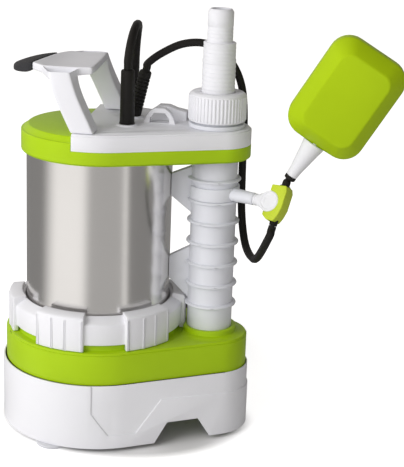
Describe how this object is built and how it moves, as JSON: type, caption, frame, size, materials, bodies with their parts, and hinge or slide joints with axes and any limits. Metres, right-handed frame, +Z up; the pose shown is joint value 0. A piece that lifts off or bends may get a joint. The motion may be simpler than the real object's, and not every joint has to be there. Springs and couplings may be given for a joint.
{
  "type": "submersible sump pump",
  "caption": "Submersible sump pump: steel motor can over a strainer base, side discharge pipe with stepped hose tail, carrying handle and float switch on a swivel clip.",
  "frame": {"origin": "point on the floor under the motor axis", "axes": "+Z up along the motor axis, +X from the motor axis to the discharge pipe, -Y towards the viewer of the float side"},
  "size_m": [0.3917, 0.4374, 0.432],
  "materials": {
    "white_shell": "satin moulded, off-white",
    "lime_shell": "satin moulded, lime green",
    "lime_float": "satin blow-moulded, lime green",
    "lime_clip": "moulded, lime green",
    "pipe_plastic": "satin moulded, light blue-grey",
    "handle_plastic": "satin moulded, light grey",
    "foot_pads": "matt light-grey rubber",
    "soft_grip": "matt dark-grey soft rubber",
    "black_rubber": "matt black",
    "seal_rubber": "matt dark brown",
    "cable_rubber": "satin black",
    "dark_plastic": "matt dark grey",
    "terminal_plastic": "matt cream",
    "can_steel": "polished stainless sheet",
    "bearing_steel": "ground steel",
    "zinc_screws": "zinc-plated steel",
    "lamination_steel": "stacked sheet, dull",
    "cast_alloy": "as cast",
    "capacitor_case": "drawn can",
    "copper_wire": "varnished copper winding",
    "plug_brass": "nickel-plated brass"
  },
  "bodies": {
    "pump": {"base_strainer": "white_shell", "base_feet": "foot_pads", "base_screws": "zinc_screws", "suction_plate": "dark_plastic", "plate_screws": "zinc_screws", "pump_housing": "lime_shell", "housing_seal": "black_rubber", "seal_carrier": "cast_alloy", "shaft_seal": "seal_rubber", "lower_bearing": "bearing_steel", "motor_can": "can_steel", "motor_sleeve": "cast_alloy", "stator_core": "lamination_steel", "stator_windings": "copper_wire", "upper_bracket": "cast_alloy", "upper_bearing": "bearing_steel", "bracket_bolts": "zinc_screws", "capacitor": "capacitor_case", "terminal_block": "terminal_plastic", "can_seal": "black_rubber", "top_cover": "lime_shell", "cover_screws": "zinc_screws", "lid": "white_shell", "lid_screws": "zinc_screws", "handle": "handle_plastic", "handle_tip": "soft_grip", "discharge_pipe": "pipe_plastic", "pipe_seal": "black_rubber", "tail_gasket": "black_rubber", "hose_tail": "white_shell", "float_ring": "pipe_plastic", "float_gland": "cable_rubber", "float_cable": "cable_rubber", "power_gland": "cable_rubber", "power_cable_run": "cable_rubber", "power_cable_coil": "cable_rubber", "cable_ties": "cable_rubber", "power_plug": "cable_rubber", "plug_pins": "plug_brass"},
    "rotor": {"rotor_core": "lamination_steel", "motor_shaft": "bearing_steel", "impeller": "dark_plastic", "impeller_nut": "zinc_screws"},
    "lock_ring": {"lock_ring": "white_shell"},
    "union_nut": {"union_nut": "white_shell"},
    "float_clip": {"swivel_plug": "white_shell", "cable_clip": "lime_clip", "clip_cable": "cable_rubber"},
    "float": {"float_collar": "cable_rubber", "float_neck": "white_shell", "float_shell_front": "lime_float", "float_shell_back": "lime_float", "float_switch": "dark_plastic"},
    "switch_ball": {"switch_ball": "bearing_steel"}
  },
  "joints": [
    {"name": "rotor_spin", "type": "hinge", "parent": "pump", "child": "rotor", "pos_m": [0, 0, 0.1], "axis": [0, 0, 1], "continuous": true},
    {"name": "lock_ring_turn", "type": "hinge", "parent": "pump", "child": "lock_ring", "pos_m": [0, 0, 0.12], "axis": [0, 0, 1], "range_deg": [0, 20]},
    {"name": "union_nut_turn", "type": "hinge", "parent": "pump", "child": "union_nut", "pos_m": [0.116, 0, 0.337], "axis": [0, 0, 1], "continuous": true},
    {"name": "float_clip_swivel", "type": "hinge", "parent": "pump", "child": "float_clip", "pos_m": [0.116, 0, 0.2516], "axis": [0.866, -0.5, 0], "range_deg": [-60, 30]},
    {"name": "float_swing", "type": "hinge", "parent": "float_clip", "child": "float", "pos_m": [0.1887, -0.02808, 0.27125], "axis": [0, 1, 0], "range_deg": [-15, 60]},
    {"name": "switch_ball_roll", "type": "slide", "parent": "float", "child": "switch_ball", "axis": [0.515, 0, 0.8572], "range_m": [0, 0.0045]}
  ]
}
